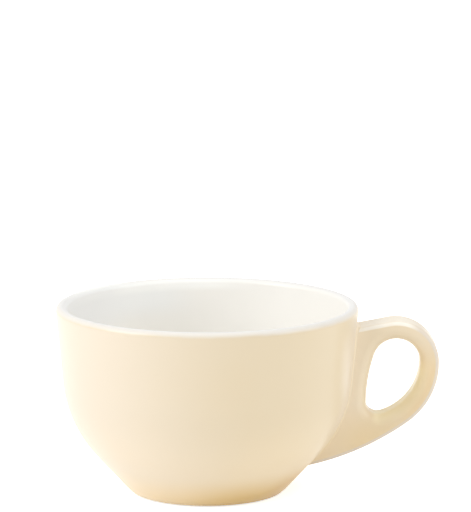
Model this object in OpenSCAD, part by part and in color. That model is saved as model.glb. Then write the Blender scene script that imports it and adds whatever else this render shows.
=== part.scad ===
// Latte cup with an ear handle: two pieces of clay joined with slip, under two glazes.
// Millimetres, +Z up, origin on the table in the middle of the foot, handle towards +X.

/* [Bowl] */
// Outside diameter over the lip
rim_d = 102; // [92:0.5:116]
// Height from the table to the crest of the lip
cup_h = 64; // [60:0.5:76]
// Lean of the upper wall from upright, in degrees
wall_lean = 5.3; // [2:0.1:8]
// Lean of the lower flank from upright, in degrees
flank_lean = 42.4; // [38:0.1:46]
// Diameter at which the line of the flank meets the table
foot_d = 51.5; // [46:0.5:56]
// Height at which the straight flank runs into the round of the belly
belly_z = 13.4; // [11:0.1:14.5]
// Outside radius of the turn from flank to foot
foot_turn_r = 6; // [4:0.5:7]
// Finished thickness of the wall and lip
wall_t = 3.8; // [3:0.1:5]
// Finished thickness of the flank
flank_t = 4.4; // [3.6:0.1:5.6]
// Finished height of the floor inside
floor_z = 7; // [6:0.1:9]
// Inside radius of the turn from floor to flank
floor_turn_r = 14; // [6:0.5:18]

/* [Foot] */
// Width of the flat ring that stands on the table
ring_w = 2.4; // [1.6:0.1:3.6]
// Depth of the recess inside the ring
recess_h = 2.2; // [1.4:0.1:2.8]
// Lean of the side of the recess from upright, in degrees
recess_lean = 40; // [25:1:55]
// Radius of the turn from the recess side to its ceiling
recess_turn_r = 1.6; // [1:0.1:2]
// Radius of the inner edge of the ring
ring_edge_r = 0.5; // [0.3:0.1:0.8]

/* [Glaze] */
// Thickness of the glazes
glaze_t = 0.4; // [0.25:0.05:0.5]
// Angle above level, around the lip, at which the lining ends outside
lip_break = 6; // [0:1:60]
// Height of the bare clay above the table
bare_h = 0.8; // [0.4:0.1:1]

/* [Handle] */
// How far the handle reaches out past the rim
handle_reach = 27.1; // [24:0.1:34]
// How far the top of the handle lies below the lip
handle_drop = 5.1; // [3.5:0.1:8]
// Width of the handle across its flat sides
handle_w = 12.5; // [9:0.5:15]
// Thickness of the band around the finger hole
band_t = 6.4; // [5.6:0.1:7.5]
// Radius of the outer edges
edge_r = 1.5; // [1:0.1:1.7]
// Slope of the top of the handle down to the bowl, in degrees
top_slope = 11; // [4:1:18]
// Height at which the lower end meets the bowl
root_z = 9.3; // [8:0.1:13]
// Radius of the sweep of the lower end
tail_r = 90; // [70:1:150]
// Thickness of the slip under the handle
slip_t = 0.4; // [0.2:0.1:0.6]

/* [Finger hole] */
// Height of the hole
hole_h = 25.8; // [24:0.2:29]
// Radius of the wide upper end
hole_top_r = 7.9; // [7:0.1:9]
// Radius of the narrow lower end
hole_low_r = 4; // [3:0.1:5]
// How far the lower end lies nearer to the bowl than the upper end
hole_skew = 6.2; // [4:0.2:7]
// Radius of the outer side of the hole
hole_side_r = 18.5; // [17:0.5:24]
// Radius of the inner side of the hole, towards the bowl
hole_inner_r = 53; // [30:1:90]
// Radius of the edges of the hole
hole_edge_r = 3.8; // [2:0.1:4]

/* [Hidden] */
$fn = 128;
clay_color = [0.86, 0.80, 0.70];
slip_color = [0.80, 0.74, 0.64];
white_color = [0.96, 0.96, 0.93];
cream_color = [0.93, 0.87, 0.76];

// Largest angle between neighbouring points on a turn
turn_step = 3.75;
lip_r = wall_t / 2;
lip = [rim_d / 2 - lip_r, cup_h - lip_r];

// Unit vector at angle a
function dir(a) = [cos(a), sin(a)];

// Points on an arc of radius r about c
function arc(c, r, from, to) =
    let (n = max(2, ceil(abs(to - from) / turn_step)))
    [for (i = [0:n]) c + r * dir(from + (to - from) * i / n)];

// A line is [angle of its outward normal, distance from the origin]
function meet(p, q) =
    let (s = sin(q[0] - p[0]))
    [
        (p[1] * sin(q[0]) - q[1] * sin(p[0])) / s,
        (q[1] * cos(p[0]) - p[1] * cos(q[0])) / s,
    ];

// Centre of the turn of radius r between two lines, negative where the clay is hollow
function turn_centre(p, q, r) = meet([p[0], p[1] - r], [q[0], q[1] - r]);
function turn(p, q, r) = arc(turn_centre(p, q, r), r, p[0], q[0]);

// Lines of the cup's section, each set back by d from the finished surface
flank_out = foot_d / 2 * cos(flank_lean);
table = [-90, 0];
function flank(d) = [-flank_lean, flank_out - d];
function wall(d) = [-wall_lean, lip * dir(-wall_lean) + lip_r - d];
function wall_in(d) = [180 - wall_lean, lip * dir(180 - wall_lean) + lip_r - d];
function flank_in(d) = [180 - flank_lean, flank_t - flank_out - d];
function floor_in(d) = [90, floor_z - d];
function ceiling(d) = [-90, -recess_h - d];
ring_out = turn_centre(table, flank(glaze_t), foot_turn_r - glaze_t)[0];
ring_in = [ring_out - ring_w, 0];
recess_dir = recess_lean - 180;
function recess_side(d) = [recess_dir, ring_in * dir(recess_dir) - d];

// Outside radius of the belly, which runs from the flank at belly_z into the wall
belly_corner = meet(flank(0), wall(0));
belly_r = (belly_corner[1] - belly_z) / cos(flank_lean) / tan((flank_lean - wall_lean) / 2);

// Outside of the bowl from the foot up, starting at angle from on the foot's turn
function outside(d, from = -90) =
    concat(
        arc(turn_centre(table, flank(d), foot_turn_r - d), foot_turn_r - d, from, -flank_lean),
        turn(flank(d), wall(d), belly_r - d)
    );

// Inside of the bowl from the lip down to the middle of the floor
function inside(d) =
    concat(
        turn(wall_in(d), flank_in(d), wall_t - belly_r - d),
        turn(flank_in(d), floor_in(d), -floor_turn_r - d),
        [[0, floor_z - d]]
    );

// Recess from its middle out to its side
function recess(d) =
    concat(
        [[0, recess_h + d]],
        turn(ceiling(d), recess_side(d), -recess_turn_r - d)
    );

function reversed(list) = [for (i = [len(list) - 1:-1:0]) list[i]];

// Layer of glaze between a finished line of points and the clay under it
module layer(finished, clay) {
    rotate_extrude()
        polygon(concat(finished, reversed(clay)));
}

// Whole outer form of the bowl, filled, with its surface set back by d
module bowl_form(d) {
    rotate_extrude()
        polygon(concat(outside(d), [lip + (lip_r - d) * dir(-wall_lean), [0, lip[1]], [0, 0]]));
}

// How far the handle runs on inside the bowl before it is trimmed, and the radius of its ends there
root_bed = 10;
root_r = 4;

// Ends of the finger hole
hole_top = [rim_d / 2 + handle_reach - band_t - hole_top_r, cup_h - handle_drop - band_t - hole_top_r];
hole_low = [hole_top[0] - hole_skew, hole_top[1] + hole_top_r - hole_h + hole_low_r];

// Point at distance rp from p and rq from q, to the right on the way from p to q
function third(p, q, rp, rq) =
    let (
        way = q - p,
        len = norm(way),
        u = way / len,
        along = (rp * rp - rq * rq + len * len) / (2 * len),
        across = sqrt(rp * rp - along * along)
    )
    p + along * u + across * [u[1], -u[0]];

function angle_of(v) = atan2(v[1], v[0]);

// Sides of the hole: an outer and an inner arc, each of which runs smoothly into both ends
hole_side = third(hole_top, hole_low, hole_side_r - hole_top_r, hole_side_r - hole_low_r);
side_from = angle_of(hole_top - hole_side);
side_to = angle_of(hole_low - hole_side);
hole_inner = third(hole_low, hole_top, hole_inner_r - hole_low_r, hole_inner_r - hole_top_r);
inner_from = angle_of(hole_inner - hole_low) - 180;
inner_to = angle_of(hole_inner - hole_top) - 180;

// Lower end: an arc from the round of the band to the bowl's flank at root_z
band_side_r = hole_side_r + band_t;
root_at = [(flank_out + root_z * sin(flank_lean)) / cos(flank_lean), root_z];
tail = third(hole_side, root_at, tail_r - band_side_r, tail_r);
tail_from = angle_of(hole_side - tail);
tail_to = angle_of(root_at - tail) - root_bed / tail_r * 180 / PI;

// Ends of the handle inside the bowl
low_root = tail + (tail_r - root_r) * dir(tail_to);
top_dir = 90 + top_slope;
top_bar = hole_top + (hole_top_r + band_t - root_r) * dir(top_dir);
top_root = top_bar + (top_bar[0] - rim_d / 2 + root_bed) / cos(top_slope) * dir(top_dir + 90);
back_dir = angle_of(top_root - low_root) + 90 - 360;

// Outlines in the XZ plane: turns as [centre, radius, from, to], clockwise by the angle of the normal
outer_turns = [
    [hole_top, hole_top_r + band_t, top_dir, side_from],
    [hole_side, band_side_r, side_from, tail_from],
    [tail, tail_r, tail_from, tail_to],
    [low_root, root_r, tail_to, back_dir],
    [top_root, root_r, back_dir, top_dir - 360],
];
hole_turns = [
    [hole_top, hole_top_r, top_dir, side_from],
    [hole_side, hole_side_r, side_from, side_to],
    [hole_low, hole_low_r, side_to, inner_from],
    [hole_inner, hole_inner_r, inner_from, inner_to],
    [hole_top, hole_top_r, inner_to, top_dir - 360],
];

// Point of an outline, grown by d, whose outward normal is at angle a
function at(turns, a, d) =
    let (t = [for (k = turns) if (a <= k[2] && a > k[3]) k][0])
    t[0] + (t[1] + d) * dir(a);

// Normal angles at which both outlines are sampled: spans as [from, to, count]
spans = [
    [top_dir, side_from, 20],
    [side_from, tail_from, 12],
    [tail_from, tail_to, 8],
    [tail_to, inner_from, 9],
    [inner_from, inner_to, 5],
    [inner_to, top_dir - 360, 6],
];
normals = [for (s = spans) for (i = [0:s[2] - 1]) s[0] + (s[1] - s[0]) * (i + 0.5) / s[2]];

// Steps around each rounded edge
edge_steps = 5;

// Rounded edge of radius r beside a flat side: points as [inset, distance from the middle plane]
function edge(half, r) =
    [for (k = [0:edge_steps]) let (a = 90 * k / edge_steps) [r * (1 - sin(a)), half - r * (1 - cos(a))]];

// Handle as a closed loft: rings of points around the hole, its surface set back by d
module handle_form(d) {
    half = handle_w / 2 - d;
    band_edge = edge(half, edge_r - d);
    hole_edge = edge(half, hole_edge_r - d);
    rings = concat(
        [for (e = band_edge) [outer_turns, -d - e[0], -e[1]]],
        [for (e = reversed(band_edge)) [outer_turns, -d - e[0], e[1]]],
        [for (e = hole_edge) [hole_turns, d + e[0], e[1]]],
        [for (e = reversed(hole_edge)) [hole_turns, d + e[0], -e[1]]]
    );
    n = len(normals);
    m = len(rings);
    points = [for (r = rings) for (a = normals) let (p = at(r[0], a, r[1])) [p[0], r[2], p[1]]];
    faces = [
        for (j = [0:m - 1])
        for (i = [0:n - 1])
        let (a = j * n, b = (j + 1) % m * n, k = (i + 1) % n)
        each [[a + i, b + k, a + k], [a + i, b + i, b + k]]
    ];
    polyhedron(points, faces);
}

module bowl_body() {
    color(clay_color)
        rotate_extrude()
            polygon(
                concat(
                    outside(glaze_t),
                    arc(lip, lip_r - glaze_t, -wall_lean, 180 - wall_lean),
                    inside(glaze_t),
                    recess(glaze_t),
                    turn(recess_side(glaze_t), table, ring_edge_r)
                )
            );
}

module handle_core() {
    color(clay_color)
        difference() {
            handle_form(glaze_t);
            bowl_form(glaze_t - slip_t);
        }
}

module handle_slip() {
    color(slip_color)
        difference() {
            intersection() {
                handle_form(glaze_t);
                bowl_form(glaze_t - slip_t);
            }
            bowl_form(glaze_t);
        }
}

module lining_glaze() {
    color(white_color)
        layer(
            concat(arc(lip, lip_r, lip_break, 180 - wall_lean), inside(0)),
            concat(arc(lip, lip_r - glaze_t, lip_break, 180 - wall_lean), inside(glaze_t))
        );
}

module outer_glaze() {
    bare_turn = acos(1 - bare_h / foot_turn_r) - 90;
    color(cream_color)
        difference() {
            layer(
                concat(outside(0, bare_turn), arc(lip, lip_r, -wall_lean, lip_break)),
                concat(outside(glaze_t, bare_turn), arc(lip, lip_r - glaze_t, -wall_lean, lip_break))
            );
            handle_form(glaze_t);
        }
}

module handle_glaze() {
    color(cream_color)
        difference() {
            handle_form(0);
            handle_form(glaze_t);
            bowl_form(0);
        }
}

module base_glaze() {
    bare_line = [90, bare_h];
    color(cream_color)
        layer(
            concat(recess(0), [meet(recess_side(0), bare_line)]),
            concat(recess(glaze_t), [meet(recess_side(glaze_t), bare_line)])
        );
}

bowl_body();
handle_core();
handle_slip();
lining_glaze();
outer_glaze();
handle_glaze();
base_glaze();
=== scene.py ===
"""Latte cup: glazes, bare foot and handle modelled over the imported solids, with a studio stage."""

import math

import bmesh
import bpy
from bpy.props import FloatProperty, FloatVectorProperty, IntProperty, PointerProperty
from mathutils import Color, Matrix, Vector


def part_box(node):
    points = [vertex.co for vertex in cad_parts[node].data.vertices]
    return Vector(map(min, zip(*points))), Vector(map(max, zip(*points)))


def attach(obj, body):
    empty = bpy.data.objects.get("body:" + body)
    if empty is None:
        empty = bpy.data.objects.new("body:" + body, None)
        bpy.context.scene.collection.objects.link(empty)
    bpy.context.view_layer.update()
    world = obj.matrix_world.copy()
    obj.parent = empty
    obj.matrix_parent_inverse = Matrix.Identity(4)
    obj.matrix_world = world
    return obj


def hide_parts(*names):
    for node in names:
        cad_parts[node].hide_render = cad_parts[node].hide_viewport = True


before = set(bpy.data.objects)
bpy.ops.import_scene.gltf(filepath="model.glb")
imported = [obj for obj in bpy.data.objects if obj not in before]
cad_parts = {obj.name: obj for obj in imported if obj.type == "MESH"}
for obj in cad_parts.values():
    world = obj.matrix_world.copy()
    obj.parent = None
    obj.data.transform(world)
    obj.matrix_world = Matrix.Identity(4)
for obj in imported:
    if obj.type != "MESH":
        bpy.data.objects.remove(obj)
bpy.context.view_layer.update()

bl_info = {
    "name": "Latte Cup",
    "version": (1, 0, 0),
    "blender": (4, 5, 0),
    "location": "View3D > Sidebar > Latte Cup",
    "description": "Builds the glazes, the bare foot and the handle of a latte cup, and its studio",
    "category": "Add Mesh",
}

BODY = "root"
EDGE = "edge"       # vertex attribute: 0 on the handle's flats, to 1 around outer edges, to -1 in the hole
IMAGE_SIZE = (471, 512)
MM = 0.001
TOUCHING = 1e-7     # points closer than this lie together
WELD = 1e-6         # points closer than this are merged


# Settings

def length(name, description, default):
    """A length in metres."""
    return FloatProperty(name=name, description=description, default=default, unit="LENGTH", precision=5)


def angle(name, description, default):
    """An angle, written here in degrees."""
    return FloatProperty(name=name, description=description, default=math.radians(default), subtype="ANGLE")


def colour(name, description, default):
    """A linear colour."""
    return FloatVectorProperty(
        name=name, description=description, default=default, subtype="COLOR", size=3, min=0.0, max=1.0
    )


def factor(name, description, default):
    """A share from none to all."""
    return FloatProperty(
        name=name, description=description, default=default, subtype="FACTOR", min=0.0, max=1.0
    )


def power(name, description, default):
    """The power of a lamp in watts."""
    return FloatProperty(name=name, description=description, default=default, unit="POWER", min=0.0)


def pixels(name, description, default):
    """A number of pixels in the photo's frame."""
    return FloatProperty(name=name, description=description, default=default)


def steps(name, description, default, fewest, most):
    """A number of steps around a turn."""
    return IntProperty(name=name, description=description, default=default, min=fewest, max=most)


class CUP_PG_bowl(bpy.types.PropertyGroup):
    """Sizes of the bowl, its foot and its glazes."""

    rim_d: length("Rim", "Outside diameter over the lip", -2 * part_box("outer_glaze")[0].x)
    height: length("Height", "Height from the table to the crest of the lip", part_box("lining_glaze")[1].z)
    wall_lean: angle("Wall lean", "Lean of the upper wall from upright", 5.3)
    flank_lean: angle("Flank lean", "Lean of the lower flank from upright", 42.4)
    foot_d: length("Foot", "Diameter at which the line of the flank meets the table", 51.5 * MM)
    belly_z: length("Belly", "Height at which the flank runs into the round of the belly", 13.4 * MM)
    foot_turn: length("Foot turn", "Outside radius of the turn from flank to foot", 6 * MM)
    wall_t: length("Wall", "Finished thickness of the wall and lip", 3.8 * MM)
    flank_t: length("Flank", "Finished thickness of the flank", 4.4 * MM)
    floor_z: length("Floor", "Finished height of the floor inside", 7 * MM)
    floor_turn: length("Floor turn", "Inside radius of the turn from floor to flank", 14 * MM)
    ring_w: length("Ring", "Width of the flat ring that stands on the table", 2.4 * MM)
    recess_h: length("Recess", "Depth of the recess inside the ring", 2.2 * MM)
    recess_lean: angle("Recess lean", "Lean of the side of the recess from upright", 40)
    recess_turn: length("Recess turn", "Radius of the turn from the recess side to its ceiling", 1.6 * MM)
    ring_edge: length("Ring edge", "Radius of the inner edge of the ring", 0.5 * MM)
    glaze_t: length("Glaze", "Thickness of the glazes", 0.4 * MM)
    lip_break: angle("Lip break", "Angle above level, around the lip, at which the lining ends", 6)
    bare_h: length("Bare foot", "Height of the bare clay above the table", 0.8 * MM)
    sides: steps("Sides", "Steps around the axis", 192, 32, 256)
    turn_step: angle("Turn step", "Largest step along a turn of the section", 3)


class CUP_PG_handle(bpy.types.PropertyGroup):
    """Sizes of the handle and its finger hole."""

    reach_x: length("Reach", "How far the handle reaches from the axis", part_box("handle_glaze")[1].x)
    top_z: length("Top", "Height of the top of the handle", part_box("handle_glaze")[1].z)
    width: length("Width", "Width across the flat sides", 2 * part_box("handle_glaze")[1].y)
    band_t: length("Band", "Thickness of the band around the finger hole", 6.4 * MM)
    edge_r: length("Edge", "Radius of the outer edges", 1.5 * MM)
    hole_edge_r: length("Hole edge", "Radius of the edges of the finger hole", 3.8 * MM)
    top_slope: angle("Top slope", "Slope of the top of the handle down to the bowl", 11)
    root_z: length("Root", "Height at which the lower end meets the bowl", 9.3 * MM)
    tail_r: length("Tail", "Radius of the sweep of the lower end", 90 * MM)
    hole_h: length("Hole height", "Height of the finger hole", 25.8 * MM)
    hole_top_r: length("Hole top", "Radius of the wide upper end of the hole", 7.9 * MM)
    hole_low_r: length("Hole low", "Radius of the narrow lower end of the hole", 4 * MM)
    hole_skew: length("Hole skew", "How far the lower end lies nearer to the bowl", 6.2 * MM)
    hole_side_r: length("Hole side", "Radius of the outer side of the hole", 18.5 * MM)
    hole_inner_r: length("Hole inner", "Radius of the inner side of the hole", 53 * MM)
    bed: length("Bed", "How deep the handle's end lies in the wall", 1.8 * MM)
    seam_r: length("Seam", "Radius of the glaze that fills the joint with the bowl", 1.0 * MM)
    edge_steps: steps("Edge steps", "Steps around each rounded edge", 10, 2, 24)


class CUP_PG_finish(bpy.types.PropertyGroup):
    """Colours and gloss of the clay and the glazes, with tints of painted light and shade on the glazes. For
    an even glaze, its tints are set to one colour.
    """

    cream: colour("Cream", "Cream glaze at its full thickness", (0.755, 0.638, 0.45))
    # Painted light: paler, cooler cream on the left of the wall, where the key lamp falls.
    cream_painted_light_left: colour("Cream, cool", "Cream glaze on the left of the wall", (0.762, 0.668, 0.54))
    # Painted light: lighter cream on the flank, paler and cooler on its left, for light bounced up from the
    # floor.
    cream_painted_light_flank: colour("Cream, low", "Cream glaze on the flank", (0.81, 0.685, 0.485))
    cream_painted_light_flank_left: colour("Cream, low and cool", "Cream glaze on the left of the flank", (0.82, 0.715, 0.57))
    cream_grip: colour("Cream, handle", "Cream glaze on the handle", (0.795, 0.675, 0.488))
    # Painted light: paler cream on the bowl beside the handle.
    cream_painted_light_beside: colour("Cream, beside", "Cream glaze drawn thin beside the handle", (0.80, 0.71, 0.58))
    # Pooled cream at the foot, darker on the right as painted shade and lighter on the left as painted light.
    cream_pooled_and_painted_shade: colour("Cream, pooled", "Cream glaze where it has run together", (0.73, 0.528, 0.222))
    cream_pooled_painted_light_left: colour("Cream, warm", "Cream glaze pooled on the left", (0.90, 0.71, 0.42))
    # Painted shade: darker, deeper cream on the flank below the handle.
    cream_painted_shade_under_handle: colour("Cream, under", "Cream glaze pooled below the handle", (0.665, 0.455, 0.19))
    cream_rich: colour("Cream, rich", "Cream glaze where it lies thick on the handle", (0.835, 0.635, 0.362))
    cream_tail: colour("Cream, tail", "Cream glaze on the lower end of the handle", (0.81, 0.635, 0.365))
    # Painted light: lighter cream on the handle next to the bowl, where the bowl shades it.
    cream_painted_light_root: colour("Cream, root", "Cream glaze on the handle next to the bowl", (0.835, 0.715, 0.53))
    # Thin glaze on the handle's top edges, paler still as a painted highlight.
    cream_thin_painted_highlight: colour("Cream, top edge", "Cream glaze thin over the handle's top edges", (0.93, 0.88, 0.78))
    # Painted shade: greyer, darker cream over the handle's outer edges, where the fill lamp falls.
    cream_edge_painted_shade: colour("Cream, outer edge", "Cream glaze over the handle's outer edges", (0.745, 0.66, 0.55))
    # Painted light: lighter cream around the finger hole's edge, where the bowl shades it.
    cream_painted_light_hole: colour("Cream, hole", "Cream glaze thin over the finger hole's edge", (0.97, 0.86, 0.58))
    white: colour("White", "White lining glaze", (0.88, 0.86, 0.815))
    # Painted shade: greyer white over the crest of the lip.
    white_painted_shade_lip: colour("White, lip", "White glaze over the crest of the lip", (0.79, 0.778, 0.755))
    # Painted light: whiter along the far side of the lip.
    white_painted_light_far: colour("White, far", "White glaze along the far side of the lip", (0.965, 0.965, 0.935))
    # Painted light: lighter, cooler white on the left of the lining, upper and lower.
    white_painted_light_upper_left: colour("White, cool", "White glaze on the upper left of the lining", (0.888, 0.892, 0.875))
    white_painted_light_low_left: colour("White, low", "White glaze lower on the left of the lining", (0.935, 0.915, 0.862))
    # Painted shade: darker white at the far left of the lining.
    white_painted_shade_left: colour("White, side", "White glaze at the far left of the lining", (0.825, 0.825, 0.815))
    white_deep: colour("White, pooled", "White glaze pooled on the floor", (0.80, 0.79, 0.74))
    clay: colour("Clay", "Bare fired clay", (0.70, 0.60, 0.45))
    clay_dark: colour("Clay, dark grain", "Darker grain in the bare clay", (0.52, 0.42, 0.29))
    slip: colour("Slip", "Fired slip under the handle", (0.60, 0.51, 0.37))
    glaze_rough: factor("Glaze roughness", "Roughness of the glazes", 0.34)
    clay_rough: factor("Clay roughness", "Roughness of the bare clay", 0.75)


class CUP_PG_stage(bpy.types.PropertyGroup):
    """Camera, floor and lamps."""

    aim_z: length("Aim height", "Height on the axis that the view was measured at", 32 * MM)
    distance: length("Distance", "From the camera to the axis", 1.2)
    elevation: angle("Elevation", "Height of the camera above the horizon", 12.4)
    scale: pixels("Scale", "Pixels per metre at the axis", 2952.0)
    axis_x: pixels("Axis across", "Pixels from the left edge to the axis", 207.1)
    axis_y: pixels("Axis down", "Pixels from the top edge to the aim height", 396.6)
    key: power("Key", "Large soft lamp at the front left", 9.1)
    top: power("Top", "Large soft lamp overhead", 2.4)
    fill: power("Fill", "Soft lamp at the right", 4.9)
    sky: FloatProperty(name="Sky", description="Strength of the white surroundings", default=0.69, min=0.0)
    floor: colour("Floor", "Pale floor", (0.93, 0.925, 0.915))


# Section lines, each an outward normal's angle and a distance from the origin

def ray(a):
    """Unit vector at angle a in a section plane."""
    return Vector((math.cos(a), math.sin(a)))


def meet(p, q):
    """Where two lines cross."""
    s = math.sin(q[0] - p[0])
    return Vector((
        (p[1] * math.sin(q[0]) - q[1] * math.sin(p[0])) / s,
        (q[1] * math.cos(p[0]) - p[1] * math.cos(q[0])) / s,
    ))


def turn_centre(p, q, r):
    """Centre of the turn of radius r between two lines, negative where the clay is hollow."""
    return meet((p[0], p[1] - r), (q[0], q[1] - r))


def third(p, q, rp, rq):
    """Point at rp from p and rq from q, to the right on the way from p to q."""
    way = q - p
    u = way.normalized()
    along = (rp * rp - rq * rq + way.length_squared) / (2 * way.length)
    return p + along * u + math.sqrt(rp * rp - along * along) * Vector((u.y, -u.x))


def angle_of(v):
    """Angle of a vector in a section plane."""
    return math.atan2(v.y, v.x)


class Pen:
    """Draws a wire in the upright plane through the handle."""

    def __init__(self, bm, start, step):
        self.bm = bm
        self.step = step
        self.tip = self.first = bm.verts.new((start.x, 0, start.y))

    def line(self, to, steps=1):
        """A straight line to a point."""
        start = self.tip.co.copy()
        end = Vector((to.x, 0, to.y))
        for i in range(steps):
            self.tip = bmesh.ops.extrude_vert_indiv(self.bm, verts=[self.tip])["verts"][0]
            self.tip.co = start.lerp(end, (i + 1) / steps)

    def arc(self, centre, start, end, steps=None):
        """An arc about a centre, between two angles, from where the pen is."""
        steps = steps or max(2, math.ceil(abs(end - start) / self.step))
        swept = bmesh.ops.spin(
            self.bm, geom=[self.tip], cent=(centre.x, 0, centre.y), axis=(0, 1, 0), dvec=(0, 0, 0),
            angle=start - end, steps=steps, use_duplicate=False,
        )
        self.tip = [v for v in swept["geom_last"] if isinstance(v, bmesh.types.BMVert)][0]

    def bend(self, centre, radius, start, end):
        """A line to the start of an arc, and the arc."""
        at = centre + radius * ray(start)
        if (self.tip.co - Vector((at.x, 0, at.y))).length > TOUCHING:
            self.line(at)
        self.arc(centre, start, end)

    def turn(self, p, q, r):
        """The rounded corner between two lines."""
        self.bend(turn_centre(p, q, r), r, p[0], q[0])

    def bead(self, to):
        """A half round to a point, bulging to the left of the way there."""
        tip = Vector((self.tip.co.x, self.tip.co.z))
        start = angle_of(tip - to)
        self.arc((tip + to) / 2, start, start + math.pi)

    def close(self):
        """Joins the last point to the first, which lie together."""
        bmesh.ops.weld_verts(self.bm, targetmap={self.tip: self.first})


class BowlSection:
    """Lines of the cup's section, set back by d from the finished surface."""

    def __init__(self, s):
        self.s = s
        self.lip_r = s.wall_t / 2
        self.lip = Vector((s.rim_d / 2 - self.lip_r, s.height - self.lip_r))
        self.flank_out = s.foot_d / 2 * math.cos(s.flank_lean)
        self.table = (-math.pi / 2, 0.0)
        corner = meet(self.flank(0), self.wall(0))
        half = (s.flank_lean - s.wall_lean) / 2
        self.belly_r = (corner.y - s.belly_z) / math.cos(s.flank_lean) / math.tan(half)
        self.ring_out = self.foot_centre(s.glaze_t).x
        self.ring_in = Vector((self.ring_out - s.ring_w, 0))

    def flank(self, d):
        return (-self.s.flank_lean, self.flank_out - d)

    def wall(self, d):
        return (-self.s.wall_lean, self.lip.dot(ray(-self.s.wall_lean)) + self.lip_r - d)

    def wall_in(self, d):
        a = math.pi - self.s.wall_lean
        return (a, self.lip.dot(ray(a)) + self.lip_r - d)

    def flank_in(self, d):
        return (math.pi - self.s.flank_lean, self.s.flank_t - self.flank_out - d)

    def floor_in(self, d):
        return (math.pi / 2, self.s.floor_z - d)

    def ceiling(self, d):
        return (-math.pi / 2, -self.s.recess_h - d)

    def recess_side(self, d):
        a = self.s.recess_lean - math.pi
        return (a, self.ring_in.dot(ray(a)) - d)

    def foot_centre(self, d):
        return turn_centre(self.table, self.flank(d), self.s.foot_turn - d)

    def foot_point(self, d, a):
        return self.foot_centre(d) + (self.s.foot_turn - d) * ray(a)

    def draw_outside(self, pen, d, start):
        """Up the outside, from an angle on the foot's turn to the foot of the lip."""
        pen.bend(self.foot_centre(d), self.s.foot_turn - d, start, -self.s.flank_lean)
        pen.turn(self.flank(d), self.wall(d), self.belly_r - d)

    def draw_inside(self, pen, d):
        """Down the inside, from the lip to the middle of the floor."""
        pen.turn(self.wall_in(d), self.flank_in(d), self.s.wall_t - self.belly_r - d)
        pen.turn(self.flank_in(d), self.floor_in(d), -self.s.floor_turn - d)
        pen.line(Vector((0, self.s.floor_z - d)))

    def lip_point(self, d, a):
        """Point on the lip at an angle."""
        return self.lip + (self.lip_r - d) * ray(a)

    def draw_lip(self, pen, d, start, end):
        """Around the lip."""
        pen.bend(self.lip, self.lip_r - d, start, end)

    def outside_at(self, z, grow):
        """Radius and the normal's angle of the outside, grown outwards, at a height."""
        centre = turn_centre(self.flank(0), self.wall(0), self.belly_r)
        r = self.belly_r + grow
        if z < centre.y + r * math.sin(-self.s.flank_lean):
            a, out = self.flank(-grow)
            return (out - z * math.sin(a)) / math.cos(a), a
        if z > centre.y + r * math.sin(-self.s.wall_lean):
            a, out = self.wall(-grow)
            return (out - z * math.sin(a)) / math.cos(a), a
        a = math.asin((z - centre.y) / r)
        return centre.x + r * math.cos(a), a


# Meshes

def turned(bm, sides):
    """Turns a drawn section about the cup's axis."""
    bmesh.ops.spin(
        bm, geom=bm.verts[:] + bm.edges[:], cent=(0, 0, 0), axis=(0, 0, 1), dvec=(0, 0, 0),
        angle=math.tau, steps=sides, use_merge=True, use_duplicate=False,
    )
    bmesh.ops.remove_doubles(bm, verts=bm.verts[:], dist=WELD)


def put_in_order(bm):
    """Sorts points and faces by place, because a spin lists them in another order in each run."""
    for elements, place in ((bm.verts, lambda v: v.co), (bm.faces, lambda f: f.calc_center_median())):
        ranked = sorted(elements, key=lambda element: place(element)[:])
        rank = {element: i for i, element in enumerate(ranked)}
        elements.sort(key=rank.get)


def linked(name, data):
    """A new object in the scene."""
    thing = bpy.data.objects.new(name, data)
    bpy.context.scene.collection.objects.link(thing)
    return thing


def meshed(name, bm, material):
    """A new object of a drawn mesh."""
    mesh = bpy.data.meshes.new(name)
    bm.to_mesh(mesh)
    bm.free()
    mesh.materials.append(material)
    return linked(name, mesh)


def finished(name, bm, material, slot, *nodes):
    """Makes the piece's object, which stands for CAD nodes and rides on the cup."""
    bmesh.ops.recalc_face_normals(bm, faces=bm.faces[:])
    if any(len(e.link_faces) != 2 for e in bm.edges):
        raise RuntimeError(name + " is not closed")
    put_in_order(bm)
    piece = meshed(name, bm, material)
    piece.data.shade_smooth()
    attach(piece, BODY)
    if nodes:
        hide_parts(*nodes)
    return piece


# Materials

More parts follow.
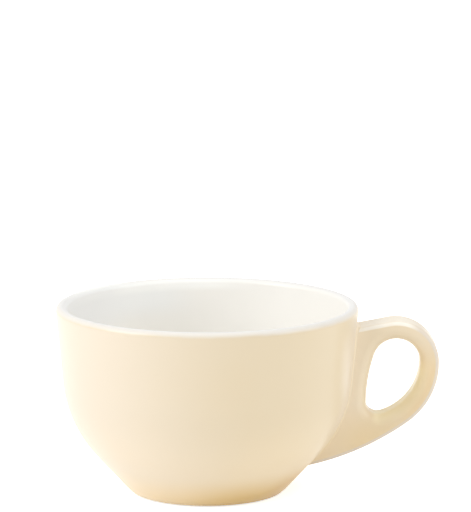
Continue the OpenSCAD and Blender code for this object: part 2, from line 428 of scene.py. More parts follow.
class Nodes:
    """Adds nodes to a tree and links them."""

    def __init__(self, tree):
        self.tree = tree

    def add(self, kind, inputs=None, **settings):
        node = self.tree.nodes.new(kind)
        for key, value in settings.items():
            setattr(node, key, value)
        for key, value in (inputs or {}).items():
            self.put(value, node.inputs[key])
        return node

    def put(self, value, socket):
        """Links a socket, or sets it to a constant."""
        if isinstance(value, bpy.types.NodeSocket):
            self.tree.links.new(value, socket)
        elif isinstance(value, Color):
            socket.default_value = (*value, 1.0)
        else:
            socket.default_value = value

    def math(self, operation, a, b=0.0):
        return self.add("ShaderNodeMath", {0: a, 1: b}, operation=operation).outputs[0]

    def product(self, value, *others):
        """Values multiplied together."""
        for other in others:
            value = self.math("MULTIPLY", value, other)
        return value

    def span(self, value, low, high, to_low=0.0, to_high=1.0):
        """A smooth step between two values."""
        return self.add(
            "ShaderNodeMapRange",
            {"Value": value, "From Min": low, "From Max": high, "To Min": to_low, "To Max": to_high},
            interpolation_type="SMOOTHSTEP",
        ).outputs["Result"]

    def mix(self, share, a, b):
        """A mix of two colours."""
        node = self.add("ShaderNodeMix", data_type="RGBA", clamp_factor=True)
        sockets = {s.identifier: s for s in (*node.inputs, *node.outputs)}
        self.put(share, sockets["Factor_Float"])
        self.put(a, sockets["A_Color"])
        self.put(b, sockets["B_Color"])
        return sockets["Result_Color"]

    def where(self):
        """A point's place on the piece, which is also its place on the cup."""
        return self.add("ShaderNodeTexCoord").outputs["Object"]

    def axes(self):
        """A point's place across, in depth and in height."""
        return tuple(self.add("ShaderNodeSeparateXYZ", {0: self.where()}).outputs)

    def noise(self, where, scale, detail):
        return self.add(
            "ShaderNodeTexNoise", {"Vector": where, "Scale": scale, "Detail": detail}
        ).outputs["Fac"]


def finish_group(name, colours, values):
    """A new shader node group that makes a finish's colour, roughness and height from named inputs."""
    tree = bpy.data.node_groups.new(name, "ShaderNodeTree")
    for way, kind, labels in (
        ("INPUT", "NodeSocketColor", colours),
        ("INPUT", "NodeSocketFloat", values),
        ("OUTPUT", "NodeSocketColor", ["Color"]),
        ("OUTPUT", "NodeSocketFloat", ["Roughness", "Height"]),
    ):
        for label in labels:
            tree.interface.new_socket(label, in_out=way, socket_type=kind)
    n = Nodes(tree)
    return n, n.add("NodeGroupInput").outputs, n.add("NodeGroupOutput").inputs


class Melt:
    """How uneven the glazes are: scale and detail of each noise, and what it does to the glaze."""

    cloud = (34.0, 3.0)
    ripple = (150.0, 2.0)
    peel = (1100.0, 1.0)
    cloud_pools = (0.35, 0.75, -0.02, 0.05)
    ripple_thins = (0.2, 0.8, 0.85, 1.15)
    cloud_dulls = (0.3, 0.7, -0.03, 0.03)
    cloud_height = 0.6
    ripple_height = 0.25
    peel_height = 0.02


def fired_glaze():
    """Group: a glaze that varies as it melts, with clouds of colour, gloss and a faint ripple."""
    name = "fired_glaze"
    if name in bpy.data.node_groups:
        return bpy.data.node_groups[name]
    n, inp, out = finish_group(
        name, ["Full", "Pooled", "Thin"], ["Pooling", "Thinning", "Roughness"]
    )
    where = n.where()
    cloud = n.noise(where, *Melt.cloud)
    ripple = n.noise(where, *Melt.ripple)
    peel = n.noise(where, *Melt.peel)
    pool = n.math("ADD", inp["Pooling"], n.span(cloud, *Melt.cloud_pools))
    thin = n.product(inp["Thinning"], n.span(ripple, *Melt.ripple_thins))
    n.put(n.mix(thin, n.mix(pool, inp["Full"], inp["Pooled"]), inp["Thin"]), out["Color"])
    n.put(n.math("ADD", inp["Roughness"], n.span(cloud, *Melt.cloud_dulls)), out["Roughness"])
    waves = n.math("ADD", n.product(cloud, Melt.cloud_height), n.product(ripple, Melt.ripple_height))
    n.put(n.math("ADD", waves, n.product(peel, Melt.peel_height)), out["Height"])
    return n.tree


class Grain:
    """How coarse the bare clay is: scale and detail of each noise, and what it does to the clay."""

    tooth = (2600.0, 2.0)
    patch = (220.0, 3.0)
    speck_scale = 1400.0
    speck_size = (0.32, 0.16)
    patch_specks = (0.4, 0.65)
    patch_darkens = (0.3, 0.8, 0.0, 0.25)
    tooth_dulls = (0.2, 0.8, -0.08, 0.08)
    patch_height = 0.5


def bare_grain():
    """Group: bare fired clay, with patches of dark grain and a fine tooth."""
    name = "bare_grain"
    if name in bpy.data.node_groups:
        return bpy.data.node_groups[name]
    n, inp, out = finish_group(name, ["Clay", "Grain"], ["Roughness"])
    where = n.where()
    tooth = n.noise(where, *Grain.tooth)
    patch = n.noise(where, *Grain.patch)
    cells = n.add("ShaderNodeTexVoronoi", {"Vector": where, "Scale": Grain.speck_scale})
    specks = n.span(cells.outputs["Distance"], *Grain.speck_size)
    dark = n.product(specks, n.span(patch, *Grain.patch_specks))
    dark = n.math("ADD", dark, n.span(patch, *Grain.patch_darkens))
    n.put(n.mix(dark, inp["Clay"], inp["Grain"]), out["Color"])
    n.put(n.math("ADD", inp["Roughness"], n.span(tooth, *Grain.tooth_dulls)), out["Roughness"])
    n.put(n.math("ADD", tooth, n.product(patch, Grain.patch_height)), out["Height"])
    return n.tree


# Strength and depth of each finish's relief
CREAM_RELIEF = (0.25, 0.15 * MM)
LINING_RELIEF = (0.2, 0.12 * MM)
CLAY_RELIEF = (0.5, 0.08 * MM)


def coated(name, tree, inputs, bump, depth):
    """A material, made once, whose shader is fed by a finish group."""
    if name in bpy.data.materials:
        return bpy.data.materials[name]
    material = bpy.data.materials.new(name)
    material.use_nodes = True
    n = Nodes(material.node_tree)
    finish = n.add("ShaderNodeGroup", node_tree=tree)
    for key, value in inputs(n).items():
        n.put(value, finish.inputs[key])
    shader = material.node_tree.nodes["Principled BSDF"]
    n.put(finish.outputs["Color"], shader.inputs["Base Color"])
    n.put(finish.outputs["Roughness"], shader.inputs["Roughness"])
    height = finish.outputs["Height"]
    relief = n.add("ShaderNodeBump", {"Height": height, "Strength": bump, "Distance": depth})
    n.put(relief.outputs["Normal"], shader.inputs["Normal"])
    return material


def set_in(edge, insets):
    """Places at some distances in from an edge."""
    return [edge - inset for inset in insets]


# Where each tint begins and where it is full, with its two shares there if they aren't 0 and 1.
# The tints are fixed to the cup, and were set by comparing renders with the photo.
# Many of them are painted light and shade rather than colours of the glaze itself.

class LipTints:
    """White over cream around the outside of the lip, down from its crest."""

    white_drop = (2.1 * MM, 0.3 * MM)
    white_most = 0.78


def white_share(n, z, bowl):
    """Share of white over cream around the outside of the lip, where the two glazes run together."""
    return n.span(z, *set_in(bowl.height, LipTints.white_drop), 0.0, LipTints.white_most)


class BowlTints:
    """Cream on the bowl, with painted light on the left, on the flank and beside the handle, and painted
    shade on the right of the foot.
    """

    wall_x = (-48 * MM, 24 * MM)
    wall_z = (16 * MM, 36 * MM)
    flank_x = (-40 * MM, 30 * MM)
    beside_x = (0.0, 20 * MM)
    beside_y = (26 * MM, 7 * MM)
    beside_z = (16 * MM, 28 * MM)
    pool_light_and_shade_x = (-28 * MM, 20 * MM, 0.55, 1.15)
    pool_z = (13 * MM, 0.5 * MM)
    pooled_light_and_shade_x = (-24 * MM, 16 * MM)
    under_x = (13 * MM, 25 * MM)
    under_z = (20 * MM, 10 * MM, 0.0, 0.42)


def cream_glaze(context):
    """Cream glaze on the bowl: white at the lip, paler on the left, on the flank and beside the handle as
    painted light, and pooled towards the foot, lighter on the left as painted light and darker on the right
    as painted shade.
    """
    finish = context.scene.cup_finish
    bowl = context.scene.cup_bowl
    tint = BowlTints

    def inputs(n):
        x, y, z = n.axes()
        # Painted light: the wall's cream is paler and cooler towards the left.
        wall = n.mix(n.span(x, *tint.wall_x), finish.cream_painted_light_left, finish.cream)
        # Painted light: the flank's cream is lighter, most of all on the left.
        flank = n.mix(n.span(x, *tint.flank_x), finish.cream_painted_light_flank_left, finish.cream_painted_light_flank)
        full = n.mix(n.span(z, *tint.wall_z), flank, wall)
        # Painted light: paler cream on the bowl beside the handle.
        side = n.span(n.math("ABSOLUTE", y), *tint.beside_y)
        beside = n.product(side, n.span(x, *tint.beside_x), n.span(z, *tint.beside_z))
        # Pooling towards the foot, weaker on the left and stronger on the right as painted light and shade.
        pool = n.product(n.span(z, *tint.pool_z), n.span(x, *tint.pool_light_and_shade_x))
        # Pooled cream, lighter on the left as painted light and darker on the right as painted shade.
        pooled = n.mix(n.span(x, *tint.pooled_light_and_shade_x), finish.cream_pooled_painted_light_left, finish.cream_pooled_and_painted_shade)
        # Painted shade: darker, deeper cream on the flank below the handle, towards the foot.
        at_foot = n.math("SUBTRACT", x, n.product(z, math.tan(bowl.flank_lean)))
        under = n.span(at_foot, *tint.under_x)
        return {
            "Full": n.mix(beside, full, finish.cream_painted_light_beside),
            "Pooled": n.mix(under, pooled, finish.cream_painted_shade_under_handle),
            # White over cream at the lip, in the crest's painted shade.
            "Thin": finish.white_painted_shade_lip,
            "Pooling": n.math("ADD", pool, n.product(under, n.span(z, *tint.under_z))),
            "Thinning": white_share(n, z, bowl),
            "Roughness": finish.glaze_rough,
        }

    return coated("glaze_cream_bowl", fired_glaze(), inputs, *CREAM_RELIEF)


class HandleTints:
    """Cream on the handle, with a painted highlight on the top edges, painted shade on the outer edges and
    painted light around the hole and next to the bowl.
    """

    edge_begins = (0.0, 0.35)
    edge_ends = (0.75, 1.0, 1.0, 0.5)
    top_x = (72 * MM, 67.5 * MM)
    top_z = (40 * MM, 53 * MM)
    in_hole = (0.0, -0.02)
    hole_x = (54.5 * MM, 57.5 * MM)
    hole_z = (48 * MM, 39 * MM)
    root_x = (56 * MM, 50 * MM)
    arm_x = (58 * MM, 71 * MM)
    arm_z = (54 * MM, 40 * MM)
    tail_x = (42 * MM, 54 * MM, 0.4, 1.0)
    tail_z = (32 * MM, 18 * MM)
    pool_most = 0.75


def cream_handle(context):
    """Cream glaze on the handle: thin over its rounded edges, with a painted highlight along the top edges,
    painted shade on the outer edges, painted light around the finger hole and next to the bowl, and pooled on
    its outer arm and tail.
    """
    finish = context.scene.cup_finish
    tint = HandleTints

    def inputs(n):
        x, _, z = n.axes()
        around = n.add("ShaderNodeAttribute", attribute_name=EDGE).outputs["Fac"]
        edge = n.product(n.span(around, *tint.edge_begins), n.span(around, *tint.edge_ends))
        # Painted light around the finger hole's edge, where the bowl keeps the key lamp off.
        inward = n.math("MAXIMUM", n.product(around, -1.0), 0.0)
        hole = n.product(inward, n.span(x, *tint.hole_x), n.span(z, *tint.hole_z))
        # Painted highlight along the top edges; painted shade on the outer edges beyond them.
        top = n.product(n.span(z, *tint.top_z), n.span(x, *tint.top_x))
        # Painted shade: the outer edges take the greyer cream.
        thin = n.mix(top, finish.cream_edge_painted_shade, finish.cream_thin_painted_highlight)
        arm = n.product(n.span(x, *tint.arm_x), n.span(z, *tint.arm_z))
        low = n.span(z, *tint.tail_z)
        tail = n.product(low, n.span(x, *tint.tail_x))
        return {
            # Painted light on the handle next to the bowl, where the bowl shades it.
            "Full": n.mix(n.span(x, *tint.root_x), finish.cream_grip, finish.cream_painted_light_root),
            "Pooled": n.mix(low, finish.cream_rich, finish.cream_tail),
            "Thin": n.mix(n.span(around, *tint.in_hole), thin, finish.cream_painted_light_hole),
            "Pooling": n.product(n.math("MAXIMUM", arm, tail), tint.pool_most),
            "Thinning": n.math("MAXIMUM", edge, hole),
            "Roughness": finish.glaze_rough,
        }

    return coated("glaze_cream_handle", fired_glaze(), inputs, *CREAM_RELIEF)


class LiningTints:
    """White on the lining, with painted light and shade. Drops go down from the lip's crest, and insets go in
    from its outside.
    """

    cool_x = (0.0, -20 * MM)
    cool_z = (47 * MM, 57 * MM)
    low_x = (20 * MM, -5 * MM)
    low_z = (56 * MM, 43 * MM)
    side_x = (-24 * MM, -44 * MM)
    far_y = (28 * MM, 44 * MM)
    corner_x = (-22 * MM, -36 * MM, 0.0, 0.75)
    corner_y = (4 * MM, 26 * MM)
    corner_band = 0.35
    band_x = (22 * MM, -6 * MM)
    band_drop = (4.8 * MM, 2.2 * MM)
    crest_x = (4 * MM, -22 * MM, 0.0, 0.6)
    crest_inset = (3.8 * MM, 2.6 * MM)
    cream_inset = (1.8 * MM, 0.8 * MM)
    pool_z = (16 * MM, 7 * MM, 0.0, 0.6)


def white_glaze(context):
    """White lining glaze: pooled a little on the floor, with cream around the outside of the lip, painted
    shade over the crest and at the far left, and painted light on the far side of the lip and on the left of
    the wall.
    """
    finish = context.scene.cup_finish
    bowl = context.scene.cup_bowl
    radius = bowl.rim_d / 2
    tint = LiningTints

    def inputs(n):
        x, y, z = n.axes()
        level = n.add("ShaderNodeCombineXYZ", {"X": x, "Y": y}).outputs["Vector"]
        away = n.add("ShaderNodeVectorMath", {0: level}, operation="LENGTH").outputs["Value"]
        # Painted light along the far side of the lip and at its far left corner.
        far = n.span(y, *tint.far_y)
        corner = n.product(n.span(y, *tint.corner_y), n.span(x, *tint.corner_x))
        # Painted light on the upper and lower left of the lining.
        cool = n.product(n.span(x, *tint.cool_x), n.span(z, *tint.cool_z))
        low = n.product(n.span(x, *tint.low_x), n.span(z, *tint.low_z))
        band = n.product(far, n.span(x, *tint.band_x))
        band = n.math("MAXIMUM", band, n.product(corner, tint.corner_band))
        band = n.product(band, n.span(z, *set_in(bowl.height, tint.band_drop)))
        wall = n.mix(cool, finish.white, finish.white_painted_light_upper_left)
        wall = n.mix(low, wall, finish.white_painted_light_low_left)
        # Painted shade at the far left of the lining.
        wall = n.mix(n.span(x, *tint.side_x), wall, finish.white_painted_shade_left)
        wall = n.mix(band, wall, finish.white_painted_light_far)
        # Painted shade over the crest of the lip, less on its far side; painted light at the far left corner.
        crest = n.mix(n.product(far, n.span(x, *tint.crest_x)), finish.white_painted_shade_lip, finish.white)
        crest = n.mix(corner, crest, finish.white_painted_light_far)
        cream = n.math("SUBTRACT", 1.0, white_share(n, z, bowl))
        return {
            "Full": n.mix(n.span(away, *set_in(radius, tint.crest_inset)), wall, crest),
            "Pooled": finish.white_deep,
            "Thin": finish.cream,
            "Pooling": n.span(z, *tint.pool_z),
            "Thinning": n.product(n.span(away, *set_in(radius, tint.cream_inset)), cream),
            "Roughness": finish.glaze_rough,
        }

    return coated("glaze_white_lining", fired_glaze(), inputs, *LINING_RELIEF)


def bare_clay(context, name, clay):
    """Bare fired clay or slip."""
    finish = context.scene.cup_finish

    def inputs(n):
        return {"Clay": clay, "Grain": finish.clay_dark, "Roughness": finish.clay_rough}

    return coated(name, bare_grain(), inputs, *CLAY_RELIEF)


# Pieces

class CUP_OT_bowl_body(bpy.types.Operator):
    """Turn the clay bowl, whose foot ring stays bare"""

    bl_idname = "cup.bowl_body"
    bl_label = "Clay Bowl"

    def execute(self, context):
        s = context.scene.cup_bowl
        section = BowlSection(s)
        bm = bmesh.new()
        pen = Pen(bm, Vector((0, s.recess_h + s.glaze_t)), s.turn_step)
        pen.turn(section.ceiling(s.glaze_t), section.recess_side(s.glaze_t), -s.recess_turn - s.glaze_t)
        pen.turn(section.recess_side(s.glaze_t), section.table, s.ring_edge)
        section.draw_outside(pen, s.glaze_t, -math.pi / 2)
        section.draw_lip(pen, s.glaze_t, -s.wall_lean, math.pi - s.wall_lean)
        section.draw_inside(pen, s.glaze_t)
        turned(bm, s.sides)
        clay = bare_clay(context, "clay_bare", context.scene.cup_finish.clay)
        finished("clay_bowl", bm, clay, "clay", "bowl_body")
        return {"FINISHED"}


class CUP_OT_lining_glaze(bpy.types.Operator):
    """Line the bowl with white glaze that rolls over the lip"""

    bl_idname = "cup.lining_glaze"
    bl_label = "White Lining"

    def execute(self, context):
        s = context.scene.cup_bowl
        section = BowlSection(s)
        bm = bmesh.new()
        end = section.lip_point(s.glaze_t, s.lip_break)
        pen = Pen(bm, end, s.turn_step)
        section.draw_lip(pen, 0, s.lip_break, math.pi - s.wall_lean)
        section.draw_inside(pen, 0)
        back = Pen(bm, end, s.turn_step)
        section.draw_lip(back, s.glaze_t, s.lip_break, math.pi - s.wall_lean)
        section.draw_inside(back, s.glaze_t)
        turned(bm, s.sides)
        finished("white_lining", bm, white_glaze(context), "white_glaze", "lining_glaze")
        return {"FINISHED"}


class CUP_OT_outer_glaze(bpy.types.Operator):
    """Glaze the outside cream, from the lip to a rounded edge above the bare foot"""

    bl_idname = "cup.outer_glaze"
    bl_label = "Cream Outside"

    def execute(self, context):
        s = context.scene.cup_bowl
        section = BowlSection(s)
        bare = math.acos(1 - s.bare_h / s.foot_turn) - math.pi / 2
        bm = bmesh.new()
        pen = Pen(bm, section.foot_point(s.glaze_t, bare), s.turn_step)
        back = Pen(bm, section.foot_point(s.glaze_t, bare), s.turn_step)
        pen.bead(section.foot_point(0, bare))
        section.draw_outside(pen, 0, bare)
        section.draw_lip(pen, 0, -s.wall_lean, s.lip_break)
        section.draw_outside(back, s.glaze_t, bare)
        section.draw_lip(back, s.glaze_t, -s.wall_lean, s.lip_break)
        pen.line(section.lip_point(s.glaze_t, s.lip_break))
        turned(bm, s.sides)
        finished("cream_outside", bm, cream_glaze(context), "cream_glaze", "outer_glaze")
        return {"FINISHED"}


class CUP_OT_base_glaze(bpy.types.Operator):
    """Glaze the recess under the floor cream"""

    bl_idname = "cup.base_glaze"
    bl_label = "Cream Base"

    def execute(self, context):
        s = context.scene.cup_bowl
        section = BowlSection(s)
        bare = (math.pi / 2, s.bare_h)
        bm = bmesh.new()
        pen = Pen(bm, Vector((0, s.recess_h)), s.turn_step)
        pen.turn(section.ceiling(0), section.recess_side(0), -s.recess_turn)
        pen.line(meet(section.recess_side(0), bare))
        pen.bead(meet(section.recess_side(s.glaze_t), bare))
        back = Pen(bm, Vector((0, s.recess_h + s.glaze_t)), s.turn_step)
        back.turn(section.ceiling(s.glaze_t), section.recess_side(s.glaze_t), -s.recess_turn - s.glaze_t)
        back.line(meet(section.recess_side(s.glaze_t), bare))
        turned(bm, s.sides)
        finished("cream_base", bm, cream_glaze(context), "cream_glaze", "base_glaze")
        return {"FINISHED"}


class HandleOutline:
    """Turns of the handle and its finger hole in the upright plane through it."""

    bar_steps = 10
    top_steps = 36
    side_steps = 24
    tail_steps = 24
    flank_steps = 3
    belly_steps = 16
    wall_steps = 4
    hole_side_steps = 30
    hole_low_steps = 24
    hole_inner_steps = 12
    hole_back_steps = 15
    end_steps = 12
    seam_steps = 60
    search_steps = 40

    def __init__(self, s, bowl):
        self.s = s
        self.section = BowlSection(bowl)
        self.top = Vector((s.reach_x, s.top_z)) - (s.band_t + s.hole_top_r) * Vector((1, 1))
        self.low = self.top + Vector((-s.hole_skew, s.hole_top_r - s.hole_h + s.hole_low_r))
        self.side = third(self.top, self.low, s.hole_side_r - s.hole_top_r, s.hole_side_r - s.hole_low_r)
        self.side_from = angle_of(self.top - self.side)
        self.side_to = angle_of(self.low - self.side)
        self.inner = third(self.low, self.top, s.hole_inner_r - s.hole_low_r, s.hole_inner_r - s.hole_top_r)
        self.inner_from = angle_of(self.inner - self.low) - math.pi
        self.inner_to = angle_of(self.inner - self.top) - math.pi
        root = Vector((self.section.outside_at(s.root_z, 0)[0], s.root_z))
        side_r = s.hole_side_r + s.band_t
        self.tail = third(self.side, root, s.tail_r - side_r, s.tail_r)
        self.tail_from = angle_of(self.side - self.tail)
        self.top_dir = math.pi / 2 + s.top_slope

    def bar(self, grow):
        """Line of the handle's top, grown outwards."""
        return (self.top_dir, self.top.dot(ray(self.top_dir)) + self.s.hole_top_r + self.s.band_t + grow)

    def tail_end(self, grow):
        """Angle on the tail's arc, grown outwards, at which it meets the bed in the flank."""
        a, out = self.section.flank(self.s.bed)
        return a - math.acos((out - self.tail.dot(ray(a))) / (self.s.tail_r + grow))

    def draw_outer(self, bm, grow):
        """The band's outline, grown outwards and closed along the bed in the bowl's wall."""
        s = self.s
        over = s.hole_top_r + s.band_t + grow
        wall = self.section.wall(s.bed)
        flank = self.section.flank(s.bed)
        belly = turn_centre(flank, wall, self.section.belly_r - s.bed)
        start = meet(self.bar(grow), wall)
        pen = Pen(bm, start, 0)
        pen.line(self.top + over * ray(self.top_dir), self.bar_steps)
        pen.arc(self.top, self.top_dir, self.side_from, self.top_steps)
        pen.arc(self.side, self.side_from, self.tail_from, self.side_steps)
        pen.arc(self.tail, self.tail_from, self.tail_end(grow), self.tail_steps)
        pen.line(belly + (self.section.belly_r - s.bed) * ray(flank[0]), self.flank_steps)
        pen.arc(belly, flank[0], wall[0], self.belly_steps)
        pen.line(start, self.wall_steps)
        pen.close()

    def top_point(self, grow, along):
        """Point on the top's line, grown outwards, and the way it faces."""
        a, out = self.bar(grow)
        return out * ray(a) + along * ray(a - math.pi / 2), ray(a)

    def tail_point(self, grow, a):
        """Point on the tail's arc, grown outwards, and the way it faces."""
        return self.tail + (self.s.tail_r + grow) * ray(a), ray(a)

    def against_wall(self, point, y, inside, outside):
        """Point of an outline, between two places on it, that meets the wall at y with room for the seam."""
        for _ in range(self.search_steps):
            middle = (inside + outside) / 2
            at, facing = point(middle)
            if math.hypot(at.x, y) < self.section.outside_at(at.y, self.s.seam_r)[0]:
                inside = middle
            else:
                outside = middle
        return Vector((at.x, y, at.y)), Vector((facing.x, 0, facing.y))

    def round_end(self, top):
        """Seam centres over the top, or under the tail, from the middle to the front side."""
        s = self.s
        steps = self.end_steps
        flat = s.width / 2 - s.edge_r
        turns = [(-flat * i / steps, math.pi / 2) for i in range(steps)]
        turns += [(-flat, math.pi / 2 * (1 - i / steps)) for i in range(steps + 1)]
        centres = []
        for y, a in turns:
            grow = (s.edge_r + s.seam_r) * math.sin(a) - s.edge_r
            y -= (s.edge_r + s.seam_r) * math.cos(a)
            if top:
                at, facing = self.against_wall(lambda t: self.top_point(grow, t), y, 0, s.reach_x)
            else:
                ends = self.tail_end(grow), self.tail_from
                at, facing = self.against_wall(lambda t: self.tail_point(grow, t), y, *ends)
            centres.append((at, math.cos(a) * Vector((0, -1, 0)) + math.sin(a) * facing))
        return centres

    def seam(self):
        """Centres along the seam and the handle's facing there, all the way around the joint."""
        steps = self.seam_steps
        over = self.round_end(True)
        front = self.round_end(False)
        low, high = front[-1][0], over[-1][0]
        for i in range(1, steps):
            z = low.z + (high.z - low.z) * i / steps
            r = self.section.outside_at(z, self.s.seam_r)[0]
            front.append((Vector((math.sqrt(r * r - low.y * low.y), low.y, z)), Vector((0, -1, 0))))
        front += over[::-1]
        flip = Vector((1, -1, 1))
        return front + [(at * flip, facing * flip) for at, facing in front[-2:0:-1]]

    def draw_hole(self, bm, grow):
        """The finger hole's outline, grown outwards."""
        s = self.s
        pen = Pen(bm, self.top + (s.hole_top_r + grow) * ray(self.top_dir), 0)
        pen.arc(self.top, self.top_dir, self.side_from, self.top_steps)
        pen.arc(self.side, self.side_from, self.side_to, self.hole_side_steps)
        pen.arc(self.low, self.side_to, self.inner_from, self.hole_low_steps)
        pen.arc(self.inner, self.inner_from, self.inner_to, self.hole_inner_steps)
        pen.arc(self.top, self.inner_to, self.top_dir - math.tau, self.hole_back_steps)
        pen.close()


def drawn_loop(bm, draw, grow, y):
    """Edges of an outline, drawn and moved to y."""
    before = set(bm.verts)
    draw(bm, grow)
    new = [v for v in bm.verts if v not in before]
    bmesh.ops.translate(bm, verts=new, vec=(0, y, 0))
    return list(dict.fromkeys(e for v in new for e in v.link_edges))


def edge_rows(s, radius):
    """Insets and places across the handle of the rows that round its two edges."""
    turns = [math.pi / 2 * i / s.edge_steps for i in range(s.edge_steps + 1)]
    edge = [(radius * (1 - math.sin(a)), s.width / 2 - radius * (1 - math.cos(a))) for a in turns]
    return [(inset, -y) for inset, y in edge] + edge[::-1]


class CUP_OT_handle_glaze(bpy.types.Operator):
    """Form the glazed handle: a band around the finger hole with rounded edges, bedded in the wall"""

    bl_idname = "cup.handle_glaze"
    bl_label = "Cream Handle"

    def execute(self, context):
        s = context.scene.cup_handle
        outline = HandleOutline(s, context.scene.cup_bowl)
        bm = bmesh.new()
        around = bm.verts.layers.float.new(EDGE)
        band = [drawn_loop(bm, outline.draw_outer, -inset, y) for inset, y in edge_rows(s, s.edge_r)]
        hole = [drawn_loop(bm, outline.draw_hole, inset, y) for inset, y in edge_rows(s, s.hole_edge_r)]
        for rings, radius, most in ((band, s.edge_r, 1), (hole, s.hole_edge_r, -1)):
            for ring, (inset, _) in zip(rings, edge_rows(s, radius)):
                for v in {v for e in ring for v in e.verts}:
                    v[around] = most * (1 - inset / radius)
        for rings in (band, hole):
            for a, b in zip(rings, rings[1:]):
                bmesh.ops.bridge_loops(bm, edges=a + b)
        for end in (0, -1):
            bmesh.ops.triangle_fill(bm, edges=band[end] + hole[end], use_beauty=True)
        handle = finished("cream_handle", bm, cream_handle(context), "cream_glaze", "handle_glaze")
        handle.modifiers.new("Even Sides", "WEIGHTED_NORMAL")
        return {"FINISHED"}


# The seam's section, in its own radii from its centre, and the turn that counts as its edge
SEAM_FACE = 1.01        # a little over 1, so that its edges tuck into handle and bowl
SEAM_BACK = 1.9         # hidden in the joint
SEAM_CREASE = math.radians(40)


class CUP_OT_seam_glaze(bpy.types.Operator):
    """Fill the corner between handle and bowl with a thin hollow run of cream glaze"""

    bl_idname = "cup.seam_glaze"
    bl_label = "Cream Seam"

    def execute(self, context):
        s = context.scene.cup_handle
        outline = HandleOutline(s, context.scene.cup_bowl)
        bm = bmesh.new()
        loops = []
        for at, facing in outline.seam():
            around = Vector((at.x, at.y, 0)).normalized()
            a = outline.section.outside_at(at.z, s.seam_r)[1]
            wall = math.cos(a) * around + math.sin(a) * Vector((0, 0, 1))
            shares = [i / s.edge_steps for i in range(s.edge_steps + 1)]
            points = [at - SEAM_FACE * s.seam_r * facing.slerp(wall, t) for t in shares]
            points.append(at - SEAM_BACK * s.seam_r * (facing + wall).normalized())
            verts = [bm.verts.new(p) for p in points]
            loops.append([bm.edges.new(pair) for pair in zip(verts, verts[1:] + verts[:1])])
        for a, b in zip(loops, loops[1:] + loops[:1]):
            bmesh.ops.bridge_loops(bm, edges=a + b)
        for e in bm.edges:
            e.smooth = e.calc_face_angle(0.0) < SEAM_CREASE
        finished("cream_seam", bm, cream_handle(context), "cream_glaze")
        return {"FINISHED"}


class CUP_OT_joint(bpy.types.Operator):
    """Finish the clay and slip that the glazes cover"""

    bl_idname = "cup.joint"
    bl_label = "Handle Clay and Slip"

    def execute(self, context):
        finish = context.scene.cup_finish
        for node, name, shade in (
            ("handle_core", "clay_bare", finish.clay),
            ("handle_slip", "slip_fired", finish.slip),
        ):
            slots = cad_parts[node].data.materials
            slots.clear()
            slots.append(bare_clay(context, name, shade))
        return {"FINISHED"}


# Stage

LAMPS = (
    # Name, setting of its power, size and place
    ("key_lamp", "key", 0.8, (-1.1, -0.51, 0.7)),
    ("top_lamp", "top", 1.2, (0.0, 0.1, 1.3)),
    ("fill_lamp", "fill", 0.8, (1.23, -0.31, 0.59)),
)
LAMP_AIM = (0.01, 0.0, 0.03)
FLOOR_RADIUS = 6.0
FLOOR_SIDES = 96
FLOOR_CLOUD = (9.0, 2.0)                # scale and detail
FLOOR_LIGHTER = 1.02                    # how much lighter the clouds are
FLOOR_GLOW = (0.12, 0.7, 0.62, 1.0)     # less glow close to the cup, so that its shadow shows
SENSOR = 36.0
CLIP = (0.01, 50.0)


def looking(start, aim):
    """Turn of a lamp or camera at start that looks at aim."""
    return (Vector(aim) - Vector(start)).to_track_quat("-Z", "Y").to_euler()


def soft_lamp(name, watts, size, at):
    """A square soft lamp aimed at the cup."""
    data = bpy.data.lights.new(name, "AREA")
    data.energy = watts
    data.size = size
    lamp = linked(name, data)
    lamp.location = at
    lamp.rotation_euler = looking(at, LAMP_AIM)
    lamp.visible_camera = False


def seen(n):
    """Mask of the rays that show the surroundings: straight from the camera, mirrored or through glass."""
    path = n.add("ShaderNodeLightPath").outputs
    direct = n.math("MAXIMUM", path["Is Camera Ray"], path["Is Glossy Ray"])
    return n.math("MAXIMUM", direct, path["Is Transmission Ray"])


def pale_floor(shade):
    """Floor that the camera sees as white, apart from the object's shadow."""
    material = bpy.data.materials.new("pale_floor")
    material.use_nodes = True
    n = Nodes(material.node_tree)
    n.tree.nodes.remove(n.tree.nodes["Principled BSDF"])
    where = n.where()
    lighter = Color([min(1.0, c * FLOOR_LIGHTER) for c in shade])
    clouded = n.mix(n.noise(where, *FLOOR_CLOUD), shade, lighter)
    board = n.add("ShaderNodeBsdfDiffuse", {"Color": clouded})
    away = n.add("ShaderNodeVectorMath", {0: where}, operation="LENGTH").outputs["Value"]
    strength = n.product(seen(n), n.span(away, *FLOOR_GLOW))
    glow = n.add("ShaderNodeEmission", {"Strength": strength})
    both = n.add("ShaderNodeAddShader", {0: board.outputs[0], 1: glow.outputs[0]})
    n.put(both.outputs[0], n.tree.nodes["Material Output"].inputs["Surface"])
    return material


def studio_floor(s):
    """A wide round floor."""
    bm = bmesh.new()
    bmesh.ops.create_circle(bm, cap_ends=True, segments=FLOOR_SIDES, radius=FLOOR_RADIUS)
    floor = meshed("studio_floor", bm, pale_floor(s.floor))


def white_studio(s):
    """Surroundings that are seen as white, and light the cup less than that."""
    world = bpy.data.worlds.new("white_studio")
    world.use_nodes = True
    n = Nodes(world.node_tree)
    back = n.tree.nodes["Background"]
    back.inputs["Color"].default_value = (1.0, 1.0, 1.0, 1.0)
    n.put(n.math("ADD", n.product(seen(n), 1.0 - s.sky), s.sky), back.inputs["Strength"])
    bpy.context.scene.world = world


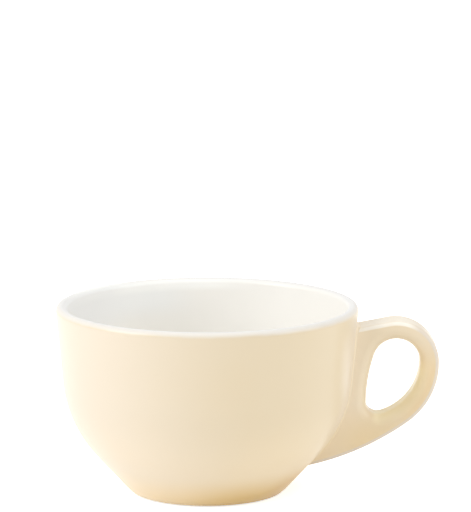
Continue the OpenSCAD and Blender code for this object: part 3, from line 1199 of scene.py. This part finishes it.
def photo_camera(s):
    """Camera at the photo's viewing angle and framing."""
    data = bpy.data.cameras.new("photo_camera")
    data.sensor_width = SENSOR
    data.lens = s.scale * s.distance / max(IMAGE_SIZE) * data.sensor_width
    data.clip_start, data.clip_end = CLIP
    camera = linked("photo_camera", data)
    up = Vector((0, math.sin(s.elevation), math.cos(s.elevation)))
    aim = Vector((0, 0, s.aim_z))
    camera.location = aim + s.distance * Vector((0, -math.cos(s.elevation), math.sin(s.elevation)))
    aim += Vector(((IMAGE_SIZE[0] / 2 - s.axis_x) / s.scale, 0, 0))
    aim += (s.axis_y - IMAGE_SIZE[1] / 2) / s.scale * up
    camera.rotation_euler = looking(camera.location, aim)
    bpy.context.scene.camera = camera


class CUP_OT_stage(bpy.types.Operator):
    """Set the floor, the soft lamps, the white surroundings and the camera"""

    bl_idname = "cup.stage"
    bl_label = "Stage"

    def execute(self, context):
        s = context.scene.cup_stage
        studio_floor(s)
        for name, setting, size, at in LAMPS:
            soft_lamp(name, getattr(s, setting), size, at)
        white_studio(s)
        photo_camera(s)
        context.scene.view_settings.view_transform = "Standard"
        return {"FINISHED"}


class CUP_PT_sidebar(bpy.types.Panel):
    """Lists the cup's pieces and settings"""

    bl_idname = "CUP_PT_sidebar"
    bl_label = "Latte Cup"
    bl_space_type = "VIEW_3D"
    bl_region_type = "UI"
    bl_category = "Latte Cup"

    def draw(self, context):
        column = self.layout.column(align=True)
        for operator in OPERATORS:
            column.operator(operator.bl_idname)
        for name in SETTINGS:
            settings = getattr(context.scene, name)
            box = self.layout.box()
            box.label(text=name.removeprefix("cup_").title())
            for key in settings.__annotations__:
                box.prop(settings, key)


OPERATORS = (
    CUP_OT_bowl_body,
    CUP_OT_lining_glaze,
    CUP_OT_outer_glaze,
    CUP_OT_base_glaze,
    CUP_OT_handle_glaze,
    CUP_OT_seam_glaze,
    CUP_OT_joint,
    CUP_OT_stage,
)
SETTINGS = {
    "cup_bowl": CUP_PG_bowl,
    "cup_handle": CUP_PG_handle,
    "cup_finish": CUP_PG_finish,
    "cup_stage": CUP_PG_stage,
}


def register():
    for cls in (*SETTINGS.values(), *OPERATORS, CUP_PT_sidebar):
        bpy.utils.register_class(cls)
    for key, cls in SETTINGS.items():
        setattr(bpy.types.Scene, key, PointerProperty(type=cls))


def unregister():
    for key in SETTINGS:
        delattr(bpy.types.Scene, key)
    for cls in (CUP_PT_sidebar, *reversed(OPERATORS), *SETTINGS.values()):
        bpy.utils.unregister_class(cls)


def main():
    register()
    bpy.ops.cup.bowl_body()
    bpy.ops.cup.lining_glaze()
    bpy.ops.cup.outer_glaze()
    bpy.ops.cup.base_glaze()
    bpy.ops.cup.handle_glaze()
    bpy.ops.cup.seam_glaze()
    bpy.ops.cup.joint()
    bpy.ops.cup.stage()


if __name__ == "__main__":
    main()
